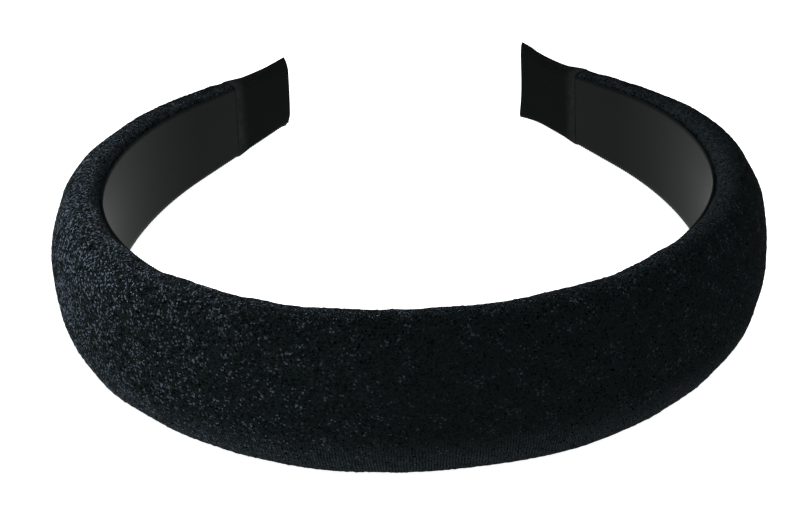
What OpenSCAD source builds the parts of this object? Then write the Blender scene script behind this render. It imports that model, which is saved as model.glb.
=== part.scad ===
// Padded velvet headband, resting on its lower edge with the crown toward -Y and the tips toward +Y.
// It is built in layers from the head outward: a ribbon lining, the turned-in edges of the cover,
// a moulded plastic hoop, a foam pad and the velvet cover, with a folded fabric tab over each tip.
// The inner face of the lining is the reference: every layer is placed by its distance out from it.

/* [Hoop line] */
// Inner radius of the crown, the half circle that sits on the head
crown_r = 62.5; // [58:0.5:68]
// Inner radius of the flatter arc behind the ears
leg_r = 92; // [80:1:110]
// Angle that each of those arcs covers
leg_angle = 35; // [25:1:40]
// Straight length at each end of the hoop
leg_straight = 33; // [25:1:45]

/* [Band] */
// Width of the band at the crown
crown_width = 33.8; // [26:0.2:40]
// Radius of the long curve that narrows the band toward the tips
taper_r = 740; // [640:10:900]
// Height that the lower edge has risen at the tips
tip_rise = 2.2; // [1.8:0.1:3]
// Thickness of the whole band at the crown
crown_thickness = 12.8; // [10:0.2:16]
// Thickness of the whole band at the tips
tip_thickness = 4.2; // [4.1:0.1:5]
// Distance from the lining's face out to the ridge of the rim
ridge_depth = 2.9; // [2.6:0.1:3.2]

/* [Layers] */
// Thickness of the ribbon lining
lining_t = 0.35; // [0.2:0.05:0.5]
// Velvet left showing on the inside, beside the lining, at the crown
margin_crown = 3.6; // [3:0.1:4.2]
// The same margin at the tips
margin_tip = 1.0; // [1:0.1:1.6]
// Thickness of the velvet, backing and pile together
velvet_t = 0.8; // [0.5:0.1:1]
// Width of velvet that is turned in under the lining
turn_in = 4.5; // [3:0.5:5]
// Thickness of the hot-melt glue under the turned-in velvet
glue_t = 0.25; // [0.2:0.05:0.4]
// Thickness of the plastic hoop
hoop_t = 1.5; // [1.2:0.1:2]
// Thickness of the adhesive film behind the foam
film_t = 0.2; // [0.1:0.05:0.3]

/* [Tip tabs] */
// Length of each folded tab along the band
tab_length = 19; // [14:1:22]
// Thickness of the tab's fabric
tab_t = 0.5; // [0.4:0.1:0.8]
// Distance that the tab's upper end corner flares past its edge
tab_flare_upper = 1.4; // [0.4:0.1:2]
// The same for its lower end corner
tab_flare_lower = 1.1; // [0.4:0.1:1.2]

/* [Hidden] */
$fn = 200;

axis_y = -3.8; // the crown arc's axis, which puts the origin under the middle of the band
s_crown = crown_r * PI / 2; // distance along the inner face to the leg arc
s_leg = s_crown + leg_r * leg_angle * PI / 180; // and on to the straight end
s_tip = s_leg + leg_straight; // and on to the tip
tip_heading = 90 + leg_angle;
leg_centre = [crown_r - leg_r, axis_y];
front_y = axis_y - crown_r - crown_thickness;
back_y = station(s_tip)[1];

facet_gap = 0.06; // the flat facets of the cover and foam keep this far off the curved layers
turned_u = lining_t + facet_gap; // near side of the turned-in velvet
flap_u = turned_u + velvet_t; // far side of the turned-in velvet
hoop_u = flap_u + glue_t; // inner face of the hoop
film_u = hoop_u + hoop_t; // inner face of the foam's adhesive film
film_end_u = film_u + film_t; // outer face of that film
foam_u = film_end_u + facet_gap; // inner face of the foam
hoop_inset_crown = 2.6; // the cover's rim curves in past the hoop's square edge
hoop_inset_tip = 1.4; // and at the tips, where the rim is tighter
glue_gap = 1.0; // the glue stays this far inside both edges of the turned-in velvet
tape_gap = 0.3; // clear space between the lining's tape and the turned-in velvet
foam_rim_gap = 0.4; // clear space between the foam and the cover's rims
foam_face_gap = 0.25; // clear space between the foam and the padded face of the cover
foam_end = s_tip - tab_length - 3; // the foam stops short of the tip tabs
tab_start = s_tip - tab_length;
tab_neck = s_tip - tab_length * 0.55; // where the tab starts to flare
tab_clear = 0.05; // the tab's fabric lies this far off the velvet
cover_stations = 80; // cross-sections along the cover
foam_stations = 66; // and along the foam
rim_steps = 2; // points round each rim
bulge_steps = 11; // steps over the padded face

// The hoop line: where the lining's inner face is at a distance s from the crown's middle, and
// the way the band is heading there. Negative s runs to the left tip.
function heading(s) = sign(s) * (abs(s) < s_crown ? abs(s) / crown_r * 180 / PI
    : abs(s) < s_leg ? 90 + (abs(s) - s_crown) / leg_r * 180 / PI : tip_heading);
function on_arc(centre, r, a) = [centre[0] + r * sin(a), centre[1] - r * cos(a)];
function right_station(s) = s < s_crown ? on_arc([0, axis_y], crown_r, heading(s))
    : s < s_leg ? on_arc(leg_centre, leg_r, heading(s))
    : on_arc(leg_centre, leg_r, tip_heading) + (s - s_leg) * [cos(tip_heading), sin(tip_heading)];
function station(s) = s < 0 ? [-right_station(-s)[0], right_station(-s)[1]] : right_station(s);
function outward(s) = [sin(heading(s)), -cos(heading(s))];

// The band's two edges, as heights over the floor. Both depend only on how far back a point is.
function back(y) = (y - front_y) / (back_y - front_y);
function upper_edge(y) = crown_width - taper_r + sqrt(pow(taper_r, 2) - pow(y - front_y, 2));
function lower_edge(y) = tip_rise * pow(max(back(y), 0), 2);
function along(crown_value, tip_value, y) = crown_value + (tip_value - crown_value) * back(y);

// Thickness of the band, which swells toward the crown, and the rounding of its padded face
function thickness(s) = crown_thickness - (crown_thickness - tip_thickness) * pow(abs(s) / s_tip, 2.3);
function swell(w) = pow(max(1 - pow(abs(w), 2.1), 0), 1 / 2.3);

// A point of a cross-section: u out from the lining, w from -1 at the lower edge to 1 at the upper
// edge, the inset from both of those edges, and how much of the tabs' flare it takes
function section_point(s, u, w, inset, flare = 0) =
    let (p = station(s) + u * outward(s),
         low = lower_edge(p[1]) - flare * tab_flare_lower,
         high = upper_edge(p[1]) + flare * tab_flare_upper)
    [p[0], p[1], (low + high) / 2 + w * ((high - low) / 2 - inset)];

// The line round a section over its rims and padded face, from the lower margin to the upper one.
// It starts at face_u and lies inside the band's surface by the skin, or outside it if that is negative.
function wrap_line(s, face_u, skin, flare = 0) =
    let (m = along(margin_crown, margin_tip, station(s)[1]), top = thickness(s) - skin,
         rim = [for (i = [0 : rim_steps - 1]) let (a = 90 * i / rim_steps)
             [face_u + (ridge_depth - face_u) * (1 - cos(a)), skin + (m - skin) * (1 - sin(a))]])
    concat(
        [for (q = rim) section_point(s, q[0], -1, q[1], flare)],
        [for (i = [0 : bulge_steps]) let (w = -cos(180 * i / bulge_steps))
            section_point(s, ridge_depth + (top - ridge_depth) * swell(w), w, skin, flare)],
        [for (q = reversed(rim)) section_point(s, q[0], 1, q[1], flare)]);
function turned_line(s, skin) =
    let (u = turned_u + skin, reach = along(margin_crown, margin_tip, station(s)[1]) + turn_in)
    concat([section_point(s, u, -1, reach)], wrap_line(s, u, skin), [section_point(s, u, 1, reach)]);
function reversed(list) = [for (i = [len(list) - 1 : -1 : 0]) list[i]];
function cover_ring(s) = concat(turned_line(s, 0), reversed(turned_line(s, velvet_t)));
function foam_ring(s) = let (inset = velvet_t + foam_rim_gap, top = thickness(s) - velvet_t - foam_face_gap)
    [for (i = [0 : bulge_steps]) let (w = -cos(180 * i / bulge_steps))
        section_point(s, foam_u + (top - foam_u) * swell(w), w, inset)];
function flare_share(s) = pow(max(s - tab_neck, 0) / (s_tip - tab_neck), 1.5);

// Joins rings of equally many points into one closed solid. A ring's second half runs back along
// its first, so each end is closed by a strip of triangles between the two halves.
module skin_rings(rings) {
    n = len(rings[0]);
    last = (len(rings) - 1) * n;
    strip = [for (j = [0 : n / 2 - 2]) each [[j, j + 1, n - 2 - j], [j, n - 2 - j, n - 1 - j]]];
    polyhedron(
        points = [for (ring = rings) for (p = ring) p],
        faces = concat(
            [for (f = strip) reversed(f)],
            [for (i = [0 : n : last - n]) for (j = [0 : n - 1]) let (k = (j + 1) % n)
                each [[i + j, i + n + k, i + n + j], [i + j, i + k, i + n + k]]],
            [for (f = strip) [last + f[0], last + f[1], last + f[2]]]));
}

// Plan of a layer between two distances out from the lining, as far as a station on both legs
module plan(u0, u1, s_end) {
    far = 200; // past the outside of any layer
    intersection() {
        ring([0, axis_y], crown_r, u0, u1);
        translate([-far, axis_y - far]) square([2 * far, far]);
    }
    for (side = [0, 1]) mirror([side, 0]) intersection() {
        translate(leg_centre) rotate(leg_angle) {
            intersection() {
                ring([0, 0], leg_r, u0, u1);
                translate([0, -far]) square(far);
            }
            translate([leg_r + u0, 0]) square([u1 - u0, s_end - s_leg]);
        }
        translate([-far, axis_y]) square(2 * far);
    }
}

module ring(centre, r, u0, u1) {
    translate(centre) difference() {
        circle(r + u1);
        circle(r + u0);
    }
}

// Cuts a layer to its width. The low and high profiles are heights at each step from front to back.
module between(low, high) {
    span = 400; // wider than the band
    translate([-span / 2, 0, 0]) rotate([90, 0, 90]) linear_extrude(span) polygon(concat(low, reversed(high)));
}
steps_y = [for (i = [0 : 16]) front_y - 2 + (back_y - front_y + 8) * i / 16];
function low_line(at_crown, at_tip) = [for (y = steps_y) [y, lower_edge(y) + along(at_crown, at_tip, y)]];
function high_line(at_crown, at_tip) = [for (y = steps_y) [y, upper_edge(y) - along(at_crown, at_tip, y)]];

module layer(u0, u1, s_end, low, high) {
    intersection() {
        linear_extrude(crown_width) plan(u0, u1, s_end);
        between(low, high);
    }
}

module hoop() {
    color("#2a2a2c") layer(hoop_u, film_u, s_tip - tab_clear,
        low_line(hoop_inset_crown, hoop_inset_tip), high_line(hoop_inset_crown, hoop_inset_tip));
}

module foam_film() {
    inset = hoop_inset_crown + 0.2;
    color("#b9a77c") layer(film_u, film_end_u, foam_end, low_line(inset, inset), high_line(inset, inset));
}

module foam_pad() {
    color("#d9d4c4") skin_rings([for (i = [0 : foam_stations])
        foam_ring(foam_end * (2 * i / foam_stations - 1))]);
}

module velvet_cover() {
    color("#16181b") skin_rings([for (i = [0 : cover_stations])
        cover_ring(s_tip * (2 * i / cover_stations - 1))]);
}

module turn_in_glue_lower() {
    color("#cfc8b0") layer(flap_u, hoop_u, tab_start,
        low_line(margin_crown + glue_gap, margin_tip + glue_gap),
        low_line(margin_crown + turn_in - glue_gap, margin_tip + turn_in - glue_gap));
}

module turn_in_glue_upper() {
    color("#cfc8b0") layer(flap_u, hoop_u, tab_start,
        high_line(margin_crown + turn_in - glue_gap, margin_tip + turn_in - glue_gap),
        high_line(margin_crown + glue_gap, margin_tip + glue_gap));
}

module lining_tape() {
    gap = turn_in + tape_gap;
    color("#8d8a80") layer(lining_t, hoop_u, tab_start,
        low_line(margin_crown + gap, margin_tip + gap), high_line(margin_crown + gap, margin_tip + gap));
}

module lining() {
    color("#3b3d3e") layer(0, lining_t, s_tip - tab_clear,
        low_line(margin_crown, margin_tip), high_line(margin_crown, margin_tip));
}

// A tab folded round one tip. It lies tab_clear off the band, closes over the end, and flares at
// the last corners of both edges.
module tip_tab_right() {
    color("#131414") difference() {
        tab_block(tab_start, s_tip + tab_t, tab_clear + tab_t, true);
        tab_block(tab_start - 1, s_tip + tab_clear, tab_clear, false);
    }
}

module tip_tab_left() {
    mirror([1, 0, 0]) tip_tab_right();
}

// The end of the band from s0 to s1, grown by a wall, with or without the flare
module tab_block(s0, s1, wall, flared) {
    n = 10;
    skin_rings([for (i = [0 : n]) let (s = s0 + (s1 - s0) * i / n)
        wrap_line(s, -wall, -wall, flared ? flare_share(s) : 0)]);
}

hoop();
foam_film();
foam_pad();
velvet_cover();
turn_in_glue_lower();
turn_in_glue_upper();
lining_tape();
lining();
tip_tab_left();
tip_tab_right();
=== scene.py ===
"""A padded velvet headband, dressed round its CAD frame. Sizes are in millimetres unless a name says
otherwise; MM turns them into the frame's metres."""

import math

import bpy
import numpy as np
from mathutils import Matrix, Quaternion, Vector


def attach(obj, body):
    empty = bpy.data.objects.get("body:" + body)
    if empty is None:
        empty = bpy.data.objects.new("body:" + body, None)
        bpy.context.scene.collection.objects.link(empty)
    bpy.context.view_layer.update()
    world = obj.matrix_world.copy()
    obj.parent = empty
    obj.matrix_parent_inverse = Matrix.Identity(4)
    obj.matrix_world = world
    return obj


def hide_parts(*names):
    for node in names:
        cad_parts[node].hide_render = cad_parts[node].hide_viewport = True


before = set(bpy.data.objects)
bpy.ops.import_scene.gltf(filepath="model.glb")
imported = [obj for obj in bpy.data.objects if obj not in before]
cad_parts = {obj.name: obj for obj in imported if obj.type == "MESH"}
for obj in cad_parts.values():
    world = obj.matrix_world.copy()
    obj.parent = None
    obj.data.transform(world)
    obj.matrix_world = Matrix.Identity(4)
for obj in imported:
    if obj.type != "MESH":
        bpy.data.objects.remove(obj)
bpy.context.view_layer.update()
MM = 0.001

# ------------------------------------------------------------------------------------------------
# The viewpoint. A long lens stands in front of the crown and looks down into the open hoop, so the
# band fills the frame with almost no perspective and leans a touch to one side.
# ------------------------------------------------------------------------------------------------
CAMERA_PITCH = 28.6  # degrees down
CAMERA_TURN = -0.45  # degrees round the band
CAMERA_ROLL = -2.25  # degrees
CAMERA_DISTANCE = 0.706  # metres
CAMERA_LENS = 155.7
CAMERA_SENSOR = 36  # mm wide
CAMERA_AIM = Vector((-2.1, -16.5, 14.9)) * MM

camera = bpy.data.objects.new("camera", bpy.data.cameras.new("camera"))
bpy.context.scene.collection.objects.link(camera)
camera.data.lens = CAMERA_LENS
camera.data.sensor_width = CAMERA_SENSOR
camera.data.clip_start = 0.05  # metres
pitch, turn = math.radians(CAMERA_PITCH), math.radians(CAMERA_TURN)
backward = Vector((-math.sin(turn) * math.cos(pitch), -math.cos(turn) * math.cos(pitch),
                   math.sin(pitch)))
camera.location = CAMERA_AIM + CAMERA_DISTANCE * backward
camera.rotation_mode = "QUATERNION"
level = backward.to_track_quat("Z", "Y")
camera.rotation_quaternion = Quaternion(backward, math.radians(CAMERA_ROLL)) @ level
bpy.context.scene.camera = camera

# ------------------------------------------------------------------------------------------------
# The hoop: one strip of black ABS, injection moulded to the shape of a head and left matt from the
# mould. The foam and velvet go over it and the lining goes inside, so nothing of it shows.
# ------------------------------------------------------------------------------------------------
def linear(hex_colour):
    """An sRGB hex colour as the linear RGBA that the shaders take."""
    c = [int(hex_colour[i:i + 2], 16) / 255 for i in (1, 3, 5)]
    return tuple(v / 12.92 if v <= 0.04045 else ((v + 0.055) / 1.055) ** 2.4 for v in c) + (1.0,)


def new_material(name, viewport):
    """An empty material, with the plain colour that stands for it where it isn't rendered."""
    m = bpy.data.materials.new(name)
    m.use_nodes = True
    m.node_tree.nodes.clear()
    m.diffuse_color = linear(viewport)
    return m


def add(m, kind, inputs=None, stops=(), **settings):
    """Adds one node. An input given as (node, output) is linked, and any other is set. Each of a
    ramp's stops is a position with a hex colour or a grey value."""
    node = m.node_tree.nodes.new(kind)
    for key, value in settings.items():
        setattr(node, key, value)
    for key, value in (inputs or {}).items():
        if isinstance(value, tuple) and isinstance(value[0], bpy.types.Node):
            m.node_tree.links.new(value[0].outputs[value[1]], node.inputs[key])
        else:
            node.inputs[key].default_value = value
    for position, _ in stops[1:-1]:
        node.color_ramp.elements.new(position)
    for element, (position, colour) in zip(node.color_ramp.elements if stops else (), stops):
        element.position = position
        element.color = linear(colour) if isinstance(colour, str) else (colour, colour, colour, 1)
    return node


def dress(node, m):
    """Gives a CAD node its material."""
    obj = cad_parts[node]
    obj.data.materials.clear()
    obj.data.materials.append(m)
    for poly in obj.data.polygons:
        poly.use_smooth = False


# ABS straight from a spark-eroded mould: an even grain 0.25 mm across and a dull broad highlight.
abs_plastic = new_material("moulded_abs", "#232325")
where = add(abs_plastic, "ShaderNodeTexCoord")
grain = add(abs_plastic, "ShaderNodeTexNoise",
            {"Vector": (where, "Object"), "Scale": 1 / (0.25 * MM), "Detail": 3.0})
relief = add(abs_plastic, "ShaderNodeBump",
             {"Height": (grain, 0), "Strength": 0.25, "Distance": 0.02 * MM})
flow = add(abs_plastic, "ShaderNodeTexNoise", {"Vector": (where, "Object"), "Scale": 1 / (18 * MM)})
tone = add(abs_plastic, "ShaderNodeValToRGB", {"Fac": (flow, 0)},
           stops=[(0, "#1f1f21"), (1, "#2b2b2e")])
shader = add(abs_plastic, "ShaderNodeBsdfPrincipled", {
    "Base Color": (tone, 0), "Roughness": 0.55, "IOR": 1.53, "Normal": (relief, 0)})
add(abs_plastic, "ShaderNodeOutputMaterial", {"Surface": (shader, 0)})
dress("hoop", abs_plastic)

# ------------------------------------------------------------------------------------------------
# The foam: a D-shaped pad of open-cell polyurethane, cut thin toward the tips, with a film of
# contact adhesive between it and the hoop. Like every other layer, it follows the band's inner face.
# ------------------------------------------------------------------------------------------------
CROWN_R = 62.5  # of the lining's inner face, round the crown
LEG_R = 92.0  # and where the legs curve in behind the ears
LEG_ANGLE = math.radians(35)
LEG_STRAIGHT = 33.0
CROWN_WIDTH = 33.8
TAPER_R = 740.0  # of the upper edge, seen from the side
TIP_RISE = 2.2  # of the lower edge over the floor
CROWN_THICKNESS = 12.8
TIP_THICKNESS = 4.2
THINNING = 2.3  # how late the band thins toward its tips
AXIS_Y = -3.8
S_CROWN = CROWN_R * math.pi / 2
S_LEG = S_CROWN + LEG_R * LEG_ANGLE
S_TIP = S_LEG + LEG_STRAIGHT
FRONT_Y = AXIS_Y - CROWN_R - CROWN_THICKNESS


def station(s):
    """Points of the lining's inner face, and the way out from it, at distances s round the band from
    the middle of the crown, with the left half negative."""
    s = np.asarray(s, float)
    a = np.abs(s)
    heading = np.where(a < S_CROWN, a / CROWN_R,
                       math.pi / 2 + np.clip((a - S_CROWN) / LEG_R, 0, LEG_ANGLE))
    r = np.where(a < S_CROWN, CROWN_R, LEG_R)
    past = np.maximum(a - S_LEG, 0)
    x = CROWN_R - r + r * np.sin(heading) + past * np.cos(heading)
    y = AXIS_Y - r * np.cos(heading) + past * np.sin(heading)
    side = np.where(s < 0, -1.0, 1.0)
    return np.stack([side * x, y], -1), np.stack([side * np.sin(heading), -np.cos(heading)], -1)


BACK_Y = float(station(S_TIP)[0][1])


def back(y):
    """How far back this is: 0 at the front of the crown and 1 at the tips."""
    return (y - FRONT_Y) / (BACK_Y - FRONT_Y)


def edges(y):
    """Heights of the band's lower and upper edges over the floor, for points this far back."""
    low = TIP_RISE * np.maximum(back(y), 0) ** 2
    return low, CROWN_WIDTH - TAPER_R + np.sqrt(TAPER_R ** 2 - (y - FRONT_Y) ** 2)


def place(s, u, w, inset, flare_low=0.0, flare_high=0.0):
    """Points u out from the lining's face, at w from -1 on the lower edge to 1 on the upper one. The
    inset draws both edges in, and each flare lets its own edge out."""
    p, out = station(s)
    x, y = p[..., 0] + u * out[..., 0], p[..., 1] + u * out[..., 1]
    low, high = edges(y)
    low, high = low - flare_low, high + flare_high
    z = (low + high) / 2 + w * ((high - low) / 2 - inset)
    return np.stack(np.broadcast_arrays(x, y, z), -1) * MM


VELVET_T = 0.8
TAB_LENGTH = 19.0
FOAM_FACE = 3.22  # from the lining's face to the foam's flat side
FOAM_END = S_TIP - TAB_LENGTH - 3.0  # short of the tabs
FOAM_RIM_GAP = 0.6  # between the foam and the cover's rims
FOAM_TOP_GAP = 0.3  # and under the cover's padded face
CREST_RISE = 0.85
CREST_REACH = 26


def thickness(s):
    return CROWN_THICKNESS - (CROWN_THICKNESS - TIP_THICKNESS) * (np.abs(s) / S_TIP) ** THINNING


def swell(w):
    """The rounding of the padded face, near an ellipse: 0 on the rims and 1 along the middle."""
    return np.maximum(1 - np.abs(w) ** 2.1, 0) ** (1 / 2.3)


def crest(s):
    """The padding stands a little higher over the middle of the crown."""
    return CREST_RISE * np.exp(-(s / CREST_REACH) ** 2)


def mesh_piece(name, points, faces, m):
    mesh = bpy.data.meshes.new(name)
    mesh.from_pydata(np.asarray(points).reshape(-1, 3).tolist(), [], faces)
    mesh.materials.append(m)
    mesh.polygons.foreach_set("use_smooth", [True] * len(mesh.polygons))
    obj = bpy.data.objects.new(name, mesh)
    bpy.context.scene.collection.objects.link(obj)
    return obj


def tube(rings):
    """Closed rings joined end to end, with both ends filled: points and outward faces."""
    count, around = rings.shape[:2]
    i, j = np.meshgrid(np.arange(count - 1) * around, np.arange(around), indexing="ij")
    k = (j + 1) % around
    quads = np.stack([i + j, i + around + j, i + around + k, i + k], -1).reshape(-1, 4)
    ends = [[around - 1 - n for n in range(around)], [(count - 1) * around + n for n in range(around)]]
    return rings, quads.tolist() + ends


# Open-cell polyurethane foam, sliced: pale, with pits about half a millimetre across painted darker
# toward their middles as painted shade, and no gloss at all.
foam_skin = new_material("polyurethane_foam", "#d9d3c2")
where = add(foam_skin, "ShaderNodeTexCoord")
cells = add(foam_skin, "ShaderNodeTexVoronoi", {"Vector": (where, "Object"), "Scale": 1 / (0.5 * MM)})
tone = add(foam_skin, "ShaderNodeValToRGB", {"Fac": (cells, "Distance")},
           stops=[(0, "#b9b09a"), (1, "#e6e1d2")])
relief = add(foam_skin, "ShaderNodeBump",
             {"Height": (cells, "Distance"), "Strength": 0.6, "Distance": 0.2 * MM})
shader = add(foam_skin, "ShaderNodeBsdfPrincipled", {
    "Base Color": (tone, 0), "Roughness": 0.95, "Specular IOR Level": 0.2, "Normal": (relief, 0)})
add(foam_skin, "ShaderNodeOutputMaterial", {"Surface": (shader, 0)})

along = np.linspace(-FOAM_END, FOAM_END, 300)[:, None]
w = -np.cos(np.linspace(0, math.pi, 26))[None, :]
top = thickness(along) - VELVET_T - FOAM_TOP_GAP
face = place(along, FOAM_FACE + (top - FOAM_FACE) * swell(w), w, VELVET_T + FOAM_RIM_GAP,
             flare_high=crest(along))
flat = place(along, FOAM_FACE, w, VELVET_T + FOAM_RIM_GAP, flare_high=crest(along))[:, -2:0:-1]
foam = mesh_piece("foam_pad_cut", *tube(np.concatenate([face, flat], 1)), foam_skin)
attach(foam, "root")
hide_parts("foam_pad")

# Contact adhesive, rolled on: a thin amber film, glassy where it has wetted the foam.
film = new_material("contact_adhesive", "#b8a070")
where = add(film, "ShaderNodeTexCoord")
spread = add(film, "ShaderNodeTexNoise",
             {"Vector": (where, "Object"), "Scale": 1 / (6 * MM), "Detail": 4.0})
tone = add(film, "ShaderNodeValToRGB", {"Fac": (spread, 0)},
           stops=[(0, "#8d7748"), (1, "#c9b27f")])
shader = add(film, "ShaderNodeBsdfPrincipled", {
    "Base Color": (tone, 0), "Roughness": 0.35, "IOR": 1.48})
add(film, "ShaderNodeOutputMaterial", {"Surface": (shader, 0)})
dress("foam_film", film)

# ------------------------------------------------------------------------------------------------
# The cover: one strip of black velvet, stretched over the foam, wrapped round both edges of the hoop
# and glued down inside, where the lining hides its raw edges. Its short pile is brushed one way.
# ------------------------------------------------------------------------------------------------
LINING_T = 0.35
LAYER_GAP = 0.06
RIDGE = 2.9  # from the lining's face out to the ridge of the rim
MARGIN_CROWN = 3.6  # of velvet that shows beside the lining
MARGIN_TIP = 1.0
TURN_IN = 4.5
TURNED_FACE = LINING_T + LAYER_GAP
TAB_TUCK = 0.5
RIM_STEPS = 8
BULGE_STEPS = 60
WEAVE_STEP = 0.55  # spacing of the cover's own mesh
TRIAL_SIZE = (150, 34)  # rows and columns of the coarse copy that is simulated
TRIAL_SHRINK = 0.9  # how much smaller it starts
TRIAL_FRAMES = 20
PULL_LIMIT = 0.5  # the furthest that the simulation may move the cloth
TURNED_SHARE = 0.16  # of half the cloth's width, over which it comes free of the lining
TAB_FADE = 4.0  # the length over which it comes free of the tabs
RIM_AT, RIM_SPREAD = 0.74, 0.09  # where the rims lie, as shares of half the cloth's width
FLOOR_GAP = 0.02


def margin(y):
    return MARGIN_CROWN + (MARGIN_TIP - MARGIN_CROWN) * back(y)


def tuck(s):
    """How far the tabs draw the band's edges in, from nothing where they start."""
    share = np.clip((np.abs(s) - (S_TIP - TAB_LENGTH)) / (0.4 * TAB_LENGTH), 0, 1)
    return TAB_TUCK * share ** 2 * (3 - 2 * share)


def cover_section(s, shrink=0.0):
    """The velvet's outer line at each station, from the lower turned-in edge round to the upper."""
    s = np.asarray(s, float)[:, None]
    low = -tuck(s)
    high = low + crest(s)
    m = margin(station(s)[0][..., 1])
    a = np.linspace(0, math.pi / 2, RIM_STEPS, endpoint=False)[None, :]
    rim_u, rim_in = TURNED_FACE + (RIDGE - TURNED_FACE) * (1 - np.cos(a)), m * (1 - np.sin(a))
    w = -np.cos(np.linspace(0, math.pi, BULGE_STEPS))[None, :]
    bulge = place(s, RIDGE + (thickness(s) - shrink - RIDGE) * swell(w), w, 0.0, low, high)
    flap = [place(s, TURNED_FACE, side, m + TURN_IN) for side in (-1, 1)]
    rim = [place(s, rim_u, side, rim_in, low, high) for side in (-1, 1)]
    return np.concatenate([flap[0], rim[0], bulge, rim[1][:, ::-1], flap[1]], 1)


def even(lines, count):
    """Respaces each line's points evenly along it."""
    step = np.linalg.norm(np.diff(lines, axis=1), axis=2)
    reach = np.concatenate([np.zeros((len(lines), 1)), np.cumsum(step, 1)], 1)
    marks = np.linspace(0, 1, count)
    return np.stack([np.stack([np.interp(marks * r[-1], r, line[:, c]) for c in range(3)], -1)
                     for r, line in zip(reach, lines)]), reach[:, -1]


def grid_faces(rows, columns):
    i, j = np.meshgrid(np.arange(rows - 1) * columns, np.arange(columns - 1), indexing="ij")
    quads = np.stack([i + j, i + columns + j, i + columns + j + 1, i + j + 1], -1)
    return quads.reshape(-1, 4).tolist()


def grid_normals(grid):
    n = np.cross(np.gradient(grid, axis=0), np.gradient(grid, axis=1))
    return n / np.maximum(np.linalg.norm(n, axis=2, keepdims=True), 1e-12)


def ripple(rng, shape, cells):
    """Smooth random numbers from -1 to 1 on a grid, with about this many cells along each side."""
    out = rng.uniform(-1, 1, [c + 3 for c in cells])
    for axis, (n, c) in enumerate(zip(shape, cells)):
        x = np.linspace(0, c, n)
        i = np.minimum(x.astype(int), c - 1)
        f = (x - i).reshape((-1, 1) if axis == 0 else (1, -1))
        p0, p1, p2, p3 = (np.take(out, i + step, axis) for step in range(4))
        curve = 2 * p0 - 5 * p1 + 4 * p2 - p3 + f * (3 * (p1 - p2) + p3 - p0)
        out = p1 + 0.5 * f * (p2 - p0 + f * curve)
    return out


# Cotton velvet, woven and cut. Its pile swallows nearly all light. Each tuft leans its own way in the
# shading, and tufts that lie over toward a light glint cool grey: these glints are painted into the
# colour as paler tufts. Real tufts are about 0.15 mm apart, and the rows of the ground weave 0.3 mm.
# Both are too fine to show, so they are drawn about twice as coarse.
TUFT = 0.3
WALE = 0.5
DRIFT = 4.0  # across each patch where more or fewer of the tufts lie over and are painted as glints
WAVE_SPAN = math.pi / 10  # of one wave in a wave texture at scale 1
velvet = new_material("cotton_velvet", "#0c0e10")
where = add(velvet, "ShaderNodeAttribute", attribute_name="weave")
lay = add(velvet, "ShaderNodeAttribute", attribute_name="lay")
tufts = add(velvet, "ShaderNodeTexVoronoi", {"Vector": (where, "Vector"), "Scale": 1 / TUFT},
            voronoi_dimensions="2D")
lean = add(velvet, "ShaderNodeVectorMath", {0: (tufts, "Color"), 1: (0.5, 0.5, 0.5)},
           operation="SUBTRACT")
facing = add(velvet, "ShaderNodeNewGeometry")
facing = add(velvet, "ShaderNodeVectorMath", {0: (lean, 0), 1: (1.8, 1.8, 1.8), 2: (facing, "Normal")},
             operation="MULTIPLY_ADD")
facing = add(velvet, "ShaderNodeVectorMath", {0: (lay, "Vector"), 1: (0.3, 0.3, 0.3), 2: (facing, 0)},
             operation="MULTIPLY_ADD")
facing = add(velvet, "ShaderNodeVectorMath", {0: (facing, 0)}, operation="NORMALIZE")
drift = add(velvet, "ShaderNodeTexNoise", {"Vector": (where, "Vector"), "Scale": 1 / DRIFT, "Detail": 3.0},
            noise_dimensions="2D")
shade = add(velvet, "ShaderNodeSeparateColor", {"Color": (tufts, "Color")})
# More of the tufts are painted as glints along the left, where the raking lights fall on the crown's
# side and the start of the left leg: painted light.
place_in_cloth = add(velvet, "ShaderNodeSeparateXYZ", {"Vector": (where, "Vector")})
from_tip = add(velvet, "ShaderNodeMapRange",
               {"Value": (place_in_cloth, "X"), "From Min": -S_TIP, "From Max": S_TIP})
left_painted_glints = add(velvet, "ShaderNodeValToRGB", {"Fac": (from_tip, 0)},
              stops=[(0.08, 0), (0.20, 0.07), (0.29, 0.12), (0.38, 0.08), (0.48, 0)])
painted_glint_mask = add(velvet, "ShaderNodeMath", {0: (drift, "Fac"), 1: 0.5, 2: (shade, "Green")},
            operation="MULTIPLY_ADD")
painted_glint_mask = add(velvet, "ShaderNodeMath", {0: (painted_glint_mask, 0), 1: 0.72, 2: (left_painted_glints, 0)},
            operation="MULTIPLY_ADD")
# Inside the rims the painted glints are taken out: painted shade on the turned-in margins.
margin_painted_shade = add(velvet, "ShaderNodeMath", {0: (place_in_cloth, "Z")}, operation="ABSOLUTE")
margin_painted_shade = add(velvet, "ShaderNodeMapRange", {"Value": (margin_painted_shade, 0), "From Min": 0.73, "From Max": 0.83,
                                             "To Max": 0.3})
painted_glint_mask = add(velvet, "ShaderNodeMath", {0: (painted_glint_mask, 0), 1: (margin_painted_shade, 0)}, operation="SUBTRACT")
# Tufts past the mask's threshold are painted pale cool grey: painted glints.
tone = add(velvet, "ShaderNodeValToRGB", {"Fac": (painted_glint_mask, 0)},
           stops=[(0.83, "#0c1010"), (0.93, "#2f343a")])
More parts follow.
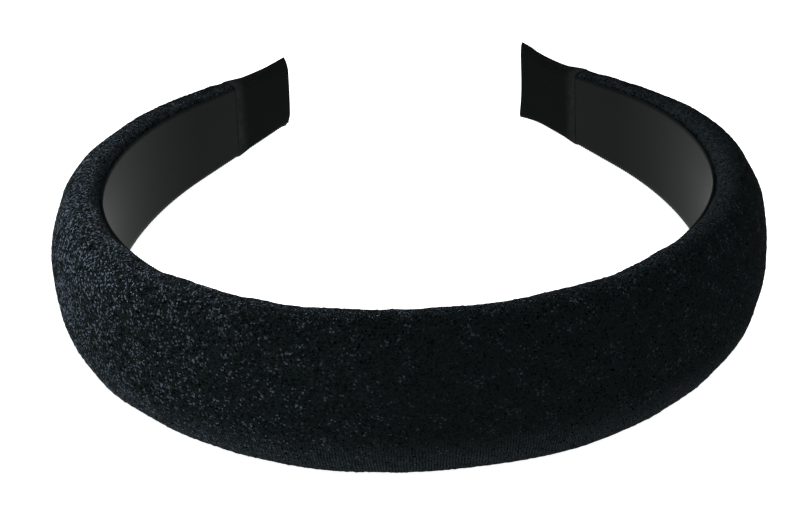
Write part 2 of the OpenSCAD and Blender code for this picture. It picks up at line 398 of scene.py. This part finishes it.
# The pile parts where the cloth turns over the rims, so rows of its paler ground grin through. Along
# the lower side they are painted stronger and reach further up, as painted light bounced from the floor.
from_lower_edge = add(velvet, "ShaderNodeMapRange", {"Value": (place_in_cloth, "Z"), "From Min": -1.0})
parting_and_bounce = add(velvet, "ShaderNodeValToRGB", {"Fac": (from_lower_edge, 0)},
              stops=[(0.10, 0.4), (0.16, 0.7), (0.28, 0.5), (0.40, 0), (0.78, 0), (0.86, 0.4)])
rows = add(velvet, "ShaderNodeTexWave", {"Vector": (where, "Vector"), "Scale": WAVE_SPAN / WALE,
                                         "Distortion": 4.0, "Detail Scale": 1.0})
grin_and_bounce_light = add(velvet, "ShaderNodeMath", {0: (parting_and_bounce, 0), 1: (rows, "Fac")}, operation="MULTIPLY")
patchy = add(velvet, "ShaderNodeMath", {0: (shade, "Blue"), 1: 1.7}, operation="MULTIPLY")
grin_and_bounce_light = add(velvet, "ShaderNodeMath", {0: (grin_and_bounce_light, 0), 1: (patchy, 0)}, operation="MULTIPLY")
tone = add(velvet, "ShaderNodeMix", {"Factor": (grin_and_bounce_light, 0), 6: (tone, 0), 7: linear("#30363b")},
           data_type="RGBA")
shader = add(velvet, "ShaderNodeBsdfPrincipled", {
    "Base Color": (tone, 2), "Roughness": 0.8, "Specular IOR Level": 0.001, "Normal": (facing, 0)})
add(velvet, "ShaderNodeOutputMaterial", {"Surface": (shader, 0)})


def pulled_tight(start, smooth):
    """Stretches a coarse copy of the cover with cloth simulation: its turned-in edges are glued, the
    foam pushes from inside, and the pull between them leaves the surface slightly uneven. It starts
    small, because it swells, and gives how far it ends from the smooth shape."""
    rows, columns = start.shape[:2]
    rng = np.random.default_rng(11)
    uneven = start + grid_normals(start) * 0.25 * MM * ripple(rng, (rows, columns), (60, 8))[..., None]
    cloth = mesh_piece("cloth_trial", uneven, grid_faces(rows, columns), velvet)
    glued = cloth.vertex_groups.new(name="glued")
    index = np.arange(rows * columns).reshape(rows, columns)
    held = np.unique(np.concatenate([index[:, :3].ravel(), index[:, -3:].ravel(), index[0], index[-1]]))
    glued.add(held.tolist(), 1.0, "REPLACE")
    sim = cloth.modifiers.new("pull", "CLOTH").settings
    sim.quality = 6
    sim.mass = 0.2
    sim.tension_stiffness = sim.compression_stiffness = 12
    sim.shear_stiffness = 6
    sim.bending_stiffness = 0.3
    sim.shrink_min = -0.012
    sim.use_pressure = True
    sim.uniform_pressure_force = 4
    sim.vertex_group_mass = "glued"
    sim.effector_weights.gravity = 0
    scene = bpy.context.scene
    for f in range(1, TRIAL_FRAMES + 1):
        scene.frame_set(f)
    shaped = cloth.evaluated_get(bpy.context.evaluated_depsgraph_get()).to_mesh()
    points = np.empty(rows * columns * 3)
    shaped.vertices.foreach_get("co", points)
    scene.frame_set(1)
    bpy.data.objects.remove(cloth)
    moved = points.reshape(rows, columns, 3) - smooth
    far = np.linalg.norm(moved, axis=2, keepdims=True)
    return moved * np.minimum(1, PULL_LIMIT * MM / np.maximum(far, 1e-9))


def finer(field, rows, columns):
    """Fills a coarse grid of vectors in to this many rows and columns, straight between them."""
    for axis, n in ((0, rows), (1, columns)):
        old = np.linspace(0, 1, field.shape[axis])
        new = np.linspace(0, 1, n)
        field = np.apply_along_axis(lambda line: np.interp(new, old, line), axis, field)
    return field


cover_rows = int(2 * S_TIP / WEAVE_STEP)
cover_s = np.linspace(-S_TIP, S_TIP, cover_rows)
lines = cover_section(cover_s)
crown_girth = even(lines[cover_rows // 2][None], 2)[1][0]
cover_columns = int(crown_girth / (WEAVE_STEP * MM))
cover_grid, cut_width = even(lines, cover_columns)
cover_size = (cover_rows, cover_columns)
t = np.linspace(-1, 1, cover_columns)[None, :]
clear_of_lining = np.clip((1 - np.abs(t)) / TURNED_SHARE, 0, 1)
clear_of_tabs = np.clip((S_TIP - TAB_LENGTH - np.abs(cover_s)) / TAB_FADE, 0, 1)[:, None]
free = (clear_of_lining * clear_of_tabs)[..., None]
trial_s = np.linspace(-S_TIP, S_TIP, TRIAL_SIZE[0])
small = even(cover_section(trial_s, TRIAL_SHRINK), TRIAL_SIZE[1])[0]
smooth = even(cover_section(trial_s), TRIAL_SIZE[1])[0]
cover_grid = cover_grid + finer(pulled_tight(small, smooth), *cover_size) * free

# It puckers where it turns over the rims, and the padding and the pile are a little uneven.
rng = np.random.default_rng(5)
on_rim = np.exp(-((np.abs(t) - RIM_AT) / RIM_SPREAD) ** 2)
pucker = ripple(rng, cover_size, (56, 3)) * 0.3 + ripple(rng, cover_size, (150, 4)) * 0.1
padding = ripple(rng, cover_size, (26, 5)) * 0.16
nap = rng.normal(0, 0.045, cover_size)
shift = (padding + pucker * on_rim + nap)[..., None] * free
cover_grid = cover_grid + grid_normals(cover_grid) * shift * MM
cover_grid[..., 2] = np.maximum(cover_grid[..., 2], FLOOR_GAP * MM)  # pressed flat where it stands
cover = mesh_piece("velvet_wrap", cover_grid, grid_faces(*cover_size), velvet)
lie = np.stack(np.broadcast_arrays(cover_s[:, None], t * 0.5 * cut_width[:, None] / MM, t), -1)
cover.data.attributes.new("weave", "FLOAT_VECTOR", "POINT").data.foreach_set("vector", lie.ravel())
nap_way = np.gradient(cover_grid, axis=0)
nap_way /= np.linalg.norm(nap_way, axis=2, keepdims=True)
cover.data.attributes.new("lay", "FLOAT_VECTOR", "POINT").data.foreach_set("vector", nap_way.ravel())
cloth_body = cover.modifiers.new("backing", "SOLIDIFY")
cloth_body.thickness = VELVET_T * 0.9 * MM  # a little thinner, because it is stretched
cloth_body.offset = -1
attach(cover, "root")
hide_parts("velvet_cover")

# Hot-melt glue, run in a bead under each turned-in edge and pressed flat: cloudy and waxy.
hot_melt = new_material("hot_melt_glue", "#d2cbb2")
where = add(hot_melt, "ShaderNodeTexCoord")
cloud = add(hot_melt, "ShaderNodeTexNoise",
            {"Vector": (where, "Object"), "Scale": 1 / (3 * MM), "Detail": 3.0})
tone = add(hot_melt, "ShaderNodeValToRGB", {"Fac": (cloud, 0)},
           stops=[(0, "#c3b994"), (1, "#dcd6c1")])
relief = add(hot_melt, "ShaderNodeBump", {"Height": (cloud, 0), "Strength": 0.5, "Distance": 0.1 * MM})
shader = add(hot_melt, "ShaderNodeBsdfPrincipled", {
    "Base Color": (tone, 0), "Roughness": 0.4, "IOR": 1.49, "Normal": (relief, 0)})
add(hot_melt, "ShaderNodeOutputMaterial", {"Surface": (shader, 0)})
dress("turn_in_glue_lower", hot_melt)
dress("turn_in_glue_upper", hot_melt)

# ------------------------------------------------------------------------------------------------
# The lining: a ribbon of black grosgrain with a woven picot edge, laid on double-sided tape so that
# it hides the velvet's raw edges. Its fine cross ribs give it a soft satin glow along the band.
# ------------------------------------------------------------------------------------------------
PICOT_PITCH = 0.75
PICOT_DEPTH = 0.26
RIB_PITCH = 0.5
RIB_DEPTH = 0.02
RIBBON_STEP = 0.25  # spacing of the ribbon's own mesh along the band
RIBBON_SHORT = 0.05  # of each tip
RIBBON_LIFT = 0.02  # of its back face off the tape

# Acrylic double-sided tape: a chalky grey film, mottled 0.2 mm across by its creped backing.
tape = new_material("double_sided_tape", "#8f8b80")
where = add(tape, "ShaderNodeTexCoord")
cells = add(tape, "ShaderNodeTexVoronoi", {"Vector": (where, "Object"), "Scale": 1 / (0.2 * MM)})
tone = add(tape, "ShaderNodeValToRGB", {"Fac": (cells, "Distance")},
           stops=[(0, "#827e72"), (1, "#9b978c")])
shader = add(tape, "ShaderNodeBsdfPrincipled", {"Base Color": (tone, 0), "Roughness": 0.8})
add(tape, "ShaderNodeOutputMaterial", {"Surface": (shader, 0)})
dress("lining_tape", tape)

# Polyester grosgrain, woven with a satin face: near black, threads 0.4 mm apart, and a broad soft
# sheen from the floats of its weft.
ribbon = new_material("polyester_ribbon", "#1b1e1e")
where = add(ribbon, "ShaderNodeTexCoord")
threads = add(ribbon, "ShaderNodeTexNoise",
              {"Vector": (where, "Object"), "Scale": 1 / (0.4 * MM), "Detail": 2.0})
tone = add(ribbon, "ShaderNodeValToRGB", {"Fac": (threads, 0)},
           stops=[(0, "#0c100f"), (1, "#111514")])
relief = add(ribbon, "ShaderNodeBump",
             {"Height": (threads, 0), "Strength": 0.15, "Distance": 0.02 * MM})
shader = add(ribbon, "ShaderNodeBsdfPrincipled", {
    "Base Color": (tone, 0), "Roughness": 0.42, "Specular IOR Level": 0.013, "Normal": (relief, 0),
    "Sheen Weight": 0.015, "Sheen Roughness": 0.2, "Sheen Tint": linear("#e8eaec")})
add(ribbon, "ShaderNodeOutputMaterial", {"Surface": (shader, 0)})

ribbon_end = S_TIP - RIBBON_SHORT
ribbon_s = np.linspace(-ribbon_end, ribbon_end, int(2 * ribbon_end / RIBBON_STEP))[:, None]
ribbon_margin = margin(station(ribbon_s)[0][..., 1])
loops = np.abs(np.sin(math.pi * ribbon_s / PICOT_PITCH)) * PICOT_DEPTH
across = np.linspace(-1, 1, 24)[None, :]
ribs = RIB_DEPTH * (1 - np.cos(2 * math.pi * ribbon_s / RIB_PITCH)) * (1 - across ** 8)
inner = place(ribbon_s, ribs, across, ribbon_margin - loops)
outer = place(ribbon_s, LINING_T - RIBBON_LIFT, across, ribbon_margin - loops)[:, ::-1]
lining = mesh_piece("ribbon_lining", *tube(np.concatenate([outer, inner], 1)), ribbon)
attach(lining, "root")
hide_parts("lining")

# ------------------------------------------------------------------------------------------------
# The tip tabs: a piece of thin black cotton cloth folded round each tip and glued down, to hide the
# ends of the velvet and ribbon. It pulls in behind the tip and stands out at its folded corners.
# ------------------------------------------------------------------------------------------------
TAB_T = 0.3  # where it is doubled over the very end
TAB_CLOTH = 0.12
TAB_CLEAR = 0.05
TAB_CORNERS = {"right": (4.0, 1.0), "left": (2.3, 0.4)}  # how far the upper and lower ones stand out
TAB_REACH = {"right": (0.2, 1.5), "left": (0.0, -0.6)}  # and how far past the straight end
TAB_EARS = {"right": 0.0, "left": 0.6}  # how far out from the lining their pinched cloth lies
THREAD = 0.35  # from one to the next
HEM_SHEEN_REACH = 4.0  # how far in from the hem the painted sheen reaches

# Cotton tape, plain woven and dyed: a dull, even black that shows its threads only close up.
tab_cloth = new_material("cotton_tape", "#121414")
where = add(tab_cloth, "ShaderNodeTexCoord")
warp, weft = (add(tab_cloth, "ShaderNodeTexWave",
                  {"Vector": (where, "Object"), "Scale": WAVE_SPAN / (THREAD * MM)},
                  bands_direction=direction) for direction in ("Z", "DIAGONAL"))
weave = add(tab_cloth, "ShaderNodeMath", {0: (warp, "Fac"), 1: (weft, "Fac")}, operation="MULTIPLY")
tone = add(tab_cloth, "ShaderNodeValToRGB", {"Fac": (weave, 0)},
           stops=[(0, "#0b0d0d"), (1, "#131616")])
# It is painted paler toward its hem, so that the lining's glow runs on over it without a step:
# painted sheen.
from_hem = add(tab_cloth, "ShaderNodeAttribute", attribute_name="from_hem")
fuzz = add(tab_cloth, "ShaderNodeTexNoise", {"Vector": (where, "Object"), "Scale": 1 / (1.5 * MM)})
hem_painted_sheen = add(tab_cloth, "ShaderNodeMapRange",
             {"Value": (from_hem, "Fac"), "From Max": HEM_SHEEN_REACH, "To Min": 1.0, "To Max": 0.0},
             interpolation_type="SMOOTHSTEP")
hem_painted_sheen = add(tab_cloth, "ShaderNodeMath", {0: (hem_painted_sheen, 0), 1: (fuzz, "Fac")}, operation="MULTIPLY")
tone = add(tab_cloth, "ShaderNodeMix", {"Factor": (hem_painted_sheen, 0), 6: (tone, 0), 7: linear("#262a29")},
           data_type="RGBA")
relief = add(tab_cloth, "ShaderNodeBump",
             {"Height": (weave, 0), "Strength": 0.4, "Distance": 0.05 * MM})
shader = add(tab_cloth, "ShaderNodeBsdfPrincipled", {
    "Base Color": (tone, 2), "Roughness": 0.9, "Specular IOR Level": 0.01, "Normal": (relief, 0)})
add(tab_cloth, "ShaderNodeOutputMaterial", {"Surface": (shader, 0)})


def tab_loop(s, wall, low, high):
    """The closed line round the band's section, at this distance off the velvet."""
    s, wall, low, high = (np.asarray(v, float)[:, None] for v in (s, wall, low, high))
    m = margin(station(s)[0][..., 1])
    a = np.linspace(0, math.pi / 2, 5, endpoint=False)[None, :]
    rim_u, rim_in = -wall + (RIDGE + wall) * (1 - np.cos(a)), -wall + (m + wall) * (1 - np.sin(a))
    w = -np.cos(np.linspace(0, math.pi, 32))[None, :]
    rims = [place(s, rim_u, side, rim_in, low, high) for side in (-1, 1)]
    padded = place(s, RIDGE + (thickness(s) + wall - RIDGE) * swell(w), w, -wall, low, high)
    plain = place(s, -wall, np.linspace(1, -1, 26)[None, 1:-1], m, low, high)
    return np.concatenate([rims[0], padded, rims[1][:, ::-1], plain], 1)


for side, name in ((1, "right"), (-1, "left")):
    share = np.linspace(0, 1, 90)
    tab_s = S_TIP - TAB_LENGTH + share * (TAB_LENGTH + TAB_CLEAR + TAB_T)
    doubled = (TAB_T - TAB_CLOTH) * np.clip(share * 4 - 3, 0, 1)
    wall = TAB_CLEAR + TAB_CLOTH * np.clip(share * 30, 0, 1) + doubled
    # Its corners stand out more and more, reach past the end, and pinch to one thickness of cloth.
    flare = np.clip((share - 0.3) / 0.7, 0, 1) ** 2
    high, low = (corner * flare - tuck(tab_s) for corner in TAB_CORNERS[name])
    rings = tab_loop(tab_s, wall, low, high)
    z = rings[..., 2]
    up = (z - z.min(1, keepdims=True)) / np.ptp(z, axis=1, keepdims=True)
    reach_up, reach_down = TAB_REACH[name]
    reach = (reach_up * up ** 5 + reach_down * (1 - up) ** 5) * share[:, None] ** 4 * MM
    mid, out = station(tab_s)
    along = np.stack([-out[:, 1], out[:, 0]], -1)[:, None, :]
    pinch = 0.88 * flare[:, None] * np.clip((np.abs(2 * up - 1) - 0.65) / 0.35, 0, 1) ** 1.3
    off_ear = ((rings[..., :2] - mid[:, None] * MM) * out[:, None]).sum(-1) - TAB_EARS[name] * MM
    rings[..., :2] += along * reach[..., None] - out[:, None] * (off_ear * pinch)[..., None]
    around = rings.shape[1]
    middle = rings[-1].mean(axis=0)
    closing = [middle + (rings[-1] - middle) * shrink for shrink in (0.9, 0.6, 0.3)]
    rings = np.concatenate([rings, closing])
    rings[..., 0] *= side
    i, j = np.meshgrid(np.arange(len(rings) - 1) * around, np.arange(around), indexing="ij")
    k = (j + 1) % around
    quads = np.stack([i + j, i + around + j, i + around + k, i + k], -1)
    faces = quads[..., ::side].reshape(-1, 4).tolist()
    last = (len(rings) - 1) * around
    faces.append([last + n for n in range(around)][::side])
    tab = mesh_piece("folded_tab_" + name, rings, faces, tab_cloth)
    hem_distance = np.append(tab_s - tab_s[0], [TAB_LENGTH] * len(closing)).repeat(around)
    tab.data.attributes.new("from_hem", "FLOAT", "POINT").data.foreach_set("value", hem_distance)
    body = tab.modifiers.new("cloth", "SOLIDIFY")
    body.thickness = TAB_CLOTH * MM
    body.offset = -1
    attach(tab, "root")
    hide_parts("tip_tab_" + name)

# ------------------------------------------------------------------------------------------------
# The studio: a white light table, so that hardly any shadow shows, and one big soft light overhead.
# Two small lights, low at the left, rake over the velvet's pile and reach nothing else.
# ------------------------------------------------------------------------------------------------
FLOOR_REACH = 3  # metres

# Matt white paper, lit from below: an even white with flecks 2.5 mm across.
floor_paper = new_material("white_paper", "#f4f4f2")
where = add(floor_paper, "ShaderNodeTexCoord")
fibre = add(floor_paper, "ShaderNodeTexNoise",
            {"Vector": (where, "Object"), "Scale": 1 / (2.5 * MM), "Detail": 2.0})
tone = add(floor_paper, "ShaderNodeValToRGB", {"Fac": (fibre, 0)},
           stops=[(0, "#f7f7f6"), (1, "#fbfbfa")])
shader = add(floor_paper, "ShaderNodeBsdfPrincipled", {
    "Base Color": (tone, 0), "Roughness": 0.9, "Emission Color": (1, 1, 1, 1),
    "Emission Strength": 0.95})
add(floor_paper, "ShaderNodeOutputMaterial", {"Surface": (shader, 0)})
corners = [(x * FLOOR_REACH, y * FLOOR_REACH, 0) for x, y in ((-1, -1), (1, -1), (1, 1), (-1, 1))]
floor = mesh_piece("floor", corners, [[0, 1, 2, 3]], floor_paper)


def softbox(name, place_at, size, power, aim=(0, 0, 0.015)):
    """A rectangular light, in metres and watts, that the camera doesn't see."""
    light = bpy.data.objects.new(name, bpy.data.lights.new(name, "AREA"))
    bpy.context.scene.collection.objects.link(light)
    light.data.shape = "RECTANGLE"
    light.data.size, light.data.size_y = size
    light.data.energy = power
    light.location = place_at
    light.rotation_euler = (Vector(aim) - Vector(place_at)).to_track_quat("-Z", "Y").to_euler()
    light.visible_camera = False
    return light


softbox("top_softbox", (0.0, -0.3, 1.5), (1.2, 1.2), 22)
nap_only = bpy.data.collections.new("nap_only")
nap_only.objects.link(cover)
for name, place_at, power, aim in (
        ("rear_raking_light", (-0.30, 0.26, 0.17), 0.30, (-0.065, -0.05, 0.015)),
        ("side_raking_light", (-0.42, -0.12, 0.03), 0.155, (-0.06, -0.045, 0.01))):
    raking = softbox(name, place_at, (0.1, 0.1), power, aim)
    raking.data.color = (0.9, 0.92, 1.0)
    raking.data.spread = math.radians(38)  # so that it stays off the band's other leg
    raking.light_linking.receiver_collection = nap_only

world = bpy.data.worlds.new("room")
world.use_nodes = True
world.node_tree.nodes["Background"].inputs["Color"].default_value = (1, 1, 1, 1)
world.node_tree.nodes["Background"].inputs["Strength"].default_value = 0.35
bpy.context.scene.world = world
bpy.context.scene.view_settings.view_transform = "Standard"
